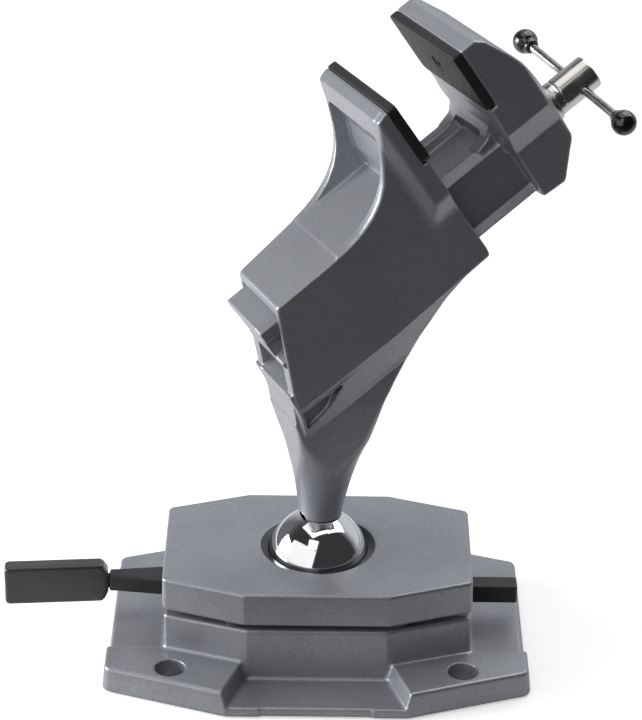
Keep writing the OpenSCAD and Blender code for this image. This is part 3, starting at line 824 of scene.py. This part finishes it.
def pad_field(depth, y, z):
    """Back at depth 0, face at the thickness, with crossed grooves and a countersunk hole."""
    abs_y = np.abs(y)
    body = intersect(prism(abs_y, z, PAD_OUTLINE), slab(depth, 0, PAD_THICKNESS), 0.45)
    line = np.minimum(np.abs(((y + z - PAD_SCREW_Z) / RIB_PITCH) % 1 - 0.5),
                      np.abs(((y - z + PAD_SCREW_Z) / RIB_PITCH) % 1 - 0.5))
    # grooves only on the face, fading before the pad's ends
    near_face = np.clip((depth - 2.6) / 0.3, 0, 1)
    off_ends = np.clip((23.6 - abs_y) / 0.6, 0, 1)
    body = body + 0.04 * np.clip(1 - line / 0.12, 0, 1) * near_face * off_ends
    radius = rod(y, z - PAD_SCREW_Z, 0)
    body = cut(body, radius - 1.6)
    return cut(body, (radius - (1.55 + np.clip(depth - 1.15, 0, 3) * 1.0)) * 0.7, 0.1)


def fixed_pad_field(x, y, z):
    return pad_field(x - FIXED_PAD_BACK, y, z)


def moving_pad_field(x, y, z):
    return pad_field(MOVING_PAD_BACK - x, y, z)


for name, body, field, low_x, high_x, node in (
        ("pad_fixed", "head", fixed_pad_field, 96.2, 101.2, "fixed_pad"),
        ("pad_moving", "jaw", moving_pad_field, 121, 126.2, "moving_pad")):
    carve(name, body, HEAD, field, low=(low_x, -26.2, 98.2), high=(high_x, 26.2, 122.6),
          step=0.34, material=RUBBER, node=node)

# ------------------------------------------------------------------ screw
THREAD_RADIUS, THREAD_PITCH, THREAD_DEPTH, THREAD_END = 3.98, 2.0, 0.85, 116.5


def screw_field(x, y, z):
    turn = np.arctan2(y, x) / (2 * math.pi)
    saw = np.abs(((z / THREAD_PITCH - turn) % 1.0) - 0.5) * 2.0
    root = np.clip((saw - 0.25) / 0.5, 0, 1)
    depth = THREAD_DEPTH * np.clip(THREAD_END - z, 0, 1)
    thread = (rod(x, y, 0) - (THREAD_RADIUS - depth * root)) * 0.85
    body = intersect(thread, slab(z, 56, 117.9), 0.4)
    # neck, shank and head with a turned groove
    body = join(body, cylinder(x, y, z, 3.2, (117, 120)))
    body = join(body, cylinder(x, y, z, 4.5, (118.95, 145.2), 0.2), 0.1)
    top = cylinder(x, y, z, 5.7, (144.9, 160.5), 0.75) + 0.22 * groove(z, 147.6, 0.35)
    body = join(body, top, 0.15)
    # tommy bar hole, and a cross hole near the inner end
    across, _ = turned_axes(x, y, TOMMY_TURN)
    body = cut(body, rod(across, z - TOMMY_Z, 1.47), 0.35)
    return cut(body, rod(x, z - 60.9, 1.0), 0.1)


carve("vise_screw", "screw", SCREW, screw_field, low=(-6.6, -6.6, 55), high=(6.6, 6.6, 161.6),
      step=0.3, material=NICKEL, node="spindle")

# ------------------------------------------------------------------ tommy bar and knobs
BAR_RADIUS, BAR_END_RADIUS = 1.38, 1.1
BAR_LOW, BAR_HIGH = -31.5, 29.5
KNOB_SPACING, KNOB_MIDDLE, KNOB_RADIUS = 58, -1, 4.0

BAR_PROFILE = (  # radius, z
    [(0, BAR_LOW), (BAR_END_RADIUS, BAR_LOW), (BAR_RADIUS, -31.2)]
    + [(BAR_RADIUS, z) for z in np.linspace(-30.8, 28.8, 24)]
    + [(BAR_RADIUS, 29.2), (BAR_END_RADIUS, BAR_HIGH), (0, BAR_HIGH)])

lathe("tommy_rod", "tommy", TOMMY, BAR_PROFILE, segments=48, material=NICKEL_BAR,
      node="tommy_bar")


def knob_field(side, centre):
    """Field of the knob at the -z (side -1) or +z (side 1) end of the bar."""
    def field(x, y, z):
        inward = side * (centre - z)
        knob = rod(rod(x, y, 0), z - centre, KNOB_RADIUS)
        knob = join(knob, cylinder(x, y, inward, 2.35, (0, 4.35), 0.35), 0.7)
        knob = knob + 0.05 * groove(z, centre, 0.12)
        return cut(knob, cylinder(x, y, inward, 1.42, (-2.5, 9)), 0.15)
    return field


for side, name in ((-1, "knob_far"), (1, "knob_near")):
    centre = KNOB_MIDDLE + side * KNOB_SPACING / 2
    carve(name, "tommy", TOMMY, knob_field(side, centre), low=(-5, -5, centre - 6),
          high=(5, 5, centre + 6), step=0.22, material=GLOSS_BLACK, node="tommy_knobs")

# ------------------------------------------------------------------ carried-over CAD nodes
for names, material in (
        (("cover_screws", "stud_lock_screw", "spacer_sleeves"), OXIDE),
        (("lever_pins", "stem_stud"), STEEL),
        (("thrust_washer", "seat_ring", "spindle_nut"), BRONZE),
        (("fixed_pad_screw", "moving_pad_screw"), PAD_OXIDE),
        (("nut_pin", "spindle_washer", "spindle_clip", "spindle_stop_pin"), HEAD_STEEL)):
    for name in names:
        materials = NODES[name].data.materials
        materials.clear()
        materials.append(material)

# ------------------------------------------------------------------ world
scene = bpy.context.scene
scene.view_settings.view_transform = "Standard"
scene.view_settings.look = "None"


def build_world():
    """White to the camera; to the object a dark room with a bright sweep low behind it."""
    world = bpy.data.worlds.new("studio")
    scene.world = world
    nodes = Nodes(world)
    direction = nodes.node("TexCoord").outputs["Generated"]
    x, y, z = nodes.node("SeparateXYZ", {0: direction}).outputs
    behind = nodes.map_range(y, source=(0.05, 0.55), target=(0.0, 0.6), kind="SMOOTHSTEP")
    low = nodes.map_range(z, source=(0.45, 0.85), target=(1.0, 0.15), kind="SMOOTHSTEP")
    sweep = nodes.math("MULTIPLY", behind, low)
    # dimmer towards -x
    side = nodes.map_range(x, source=(-0.6, -0.2), target=(0.2, 1.0), kind="SMOOTHSTEP")
    sweep = nodes.math("MULTIPLY", sweep, side)
    strength = nodes.math("ADD", sweep, 0.04)
    room = nodes.node("Background", {"Color": (0.93, 0.95, 1.0, 1), "Strength": strength})
    white = nodes.node("Background", {"Color": (1, 1, 1, 1), "Strength": 1.0})
    camera_ray = nodes.node("LightPath").outputs["Is Camera Ray"]
    mixed = nodes.node("MixShader", {0: camera_ray, 1: room.outputs[0], 2: white.outputs[0]})
    nodes.node("OutputWorld", {"Surface": mixed.outputs[0]})


build_world()

# ------------------------------------------------------------------ lights
PANEL_SIZE = (1.35, 0.95)
PANEL_POWER = 1.05 * math.pi * PANEL_SIZE[0] * PANEL_SIZE[1]  # radiance x pi x area

LIGHTS = (  # name, place, target height on the z axis (m), size (m), power (W)
    ("key_left", (-0.98, 0.05, 0.30), 0.09, (0.6, 0.5), 11.3),
    ("panel_front_left", (-0.68, -0.70, 0.42), 0.06, PANEL_SIZE, PANEL_POWER),
    ("top_soft", (0.35, 0.35, 0.85), 0.08, (0.7, 0.7), 3.2),
    ("front_high", (-0.2, -0.6, 0.86), 0.10, (0.4, 0.4), 0.6),
    ("overhead", (-0.05, 0.1, 0.95), 0.08, (0.7, 0.7), 1.9))

for name, place, target_z, size, power in LIGHTS:
    light = bpy.data.lights.new(name, "AREA")
    light.shape = "RECTANGLE"
    light.size, light.size_y = size
    light.energy = power
    lamp = bpy.data.objects.new(name, light)
    scene.collection.objects.link(lamp)
    lamp.location = place
    lamp.rotation_mode = "QUATERNION"
    aim = Vector((0, 0, target_z)) - Vector(place)
    lamp.rotation_quaternion = aim.to_track_quat("-Z", "Y")

# ------------------------------------------------------------------ floor
FLOOR_HALF, FLOOR_DROP = 6, 0.0002


def floor_material():
    """Pale to the camera; to the object bright behind and dark in front."""
    shader = Shader("pale_floor")
    camera_ray = shader.node("LightPath").outputs["Is Camera Ray"]
    x, y, _ = shader.node("SeparateXYZ", {0: shader.place}).outputs
    depth = shader.math("ADD", shader.math("MULTIPLY", x, 0.04), y)
    grey = shader.map_range(depth, source=(-0.12, -0.02), target=(0.06, 0.85),
                            kind="SMOOTHSTEP")
    colour = shader.mix(camera_ray, grey, (0.9, 0.9, 0.905, 1))
    return shader.finish(Base_Color=colour, Emission_Strength=camera_ray,
                         Emission_Color=(0.42, 0.42, 0.42, 1), Roughness=0.7,
                         Specular_IOR_Level=0.1)


floor_mesh = bpy.data.meshes.new("studio_floor")
floor_signs = ((-1, -1), (1, -1), (1, 1), (-1, 1))
floor_mesh.from_pydata([(x * FLOOR_HALF, y * FLOOR_HALF, 0) for x, y in floor_signs],
                       [], [(0, 1, 2, 3)])
floor = bpy.data.objects.new("studio_floor", floor_mesh)
scene.collection.objects.link(floor)
floor.location.z = -FLOOR_DROP
floor_mesh.materials.append(floor_material())

# ------------------------------------------------------------------ camera
CAMERA_PLACE = (0.00071, -0.82958, 0.52268)
CAMERA_RIGHT = Vector((0.9999, 0.0058, 0.0104))
CAMERA_UP = Vector((-0.0119, 0.4540, 0.8909))
CAMERA_FORWARD = Vector((-0.0005, 0.8910, -0.4540))

lens = bpy.data.cameras.new("cam")
camera = bpy.data.objects.new("cam", lens)
scene.collection.objects.link(camera)
lens.sensor_fit = "AUTO"
lens.sensor_width = 36.0
lens.lens = 150.0
lens.clip_start = 0.05
lens.clip_end = 40
camera_turn = Matrix((CAMERA_RIGHT, CAMERA_UP, -CAMERA_FORWARD)).transposed()
camera.matrix_world = Matrix.Translation(CAMERA_PLACE) @ camera_turn.to_4x4()
scene.camera = camera
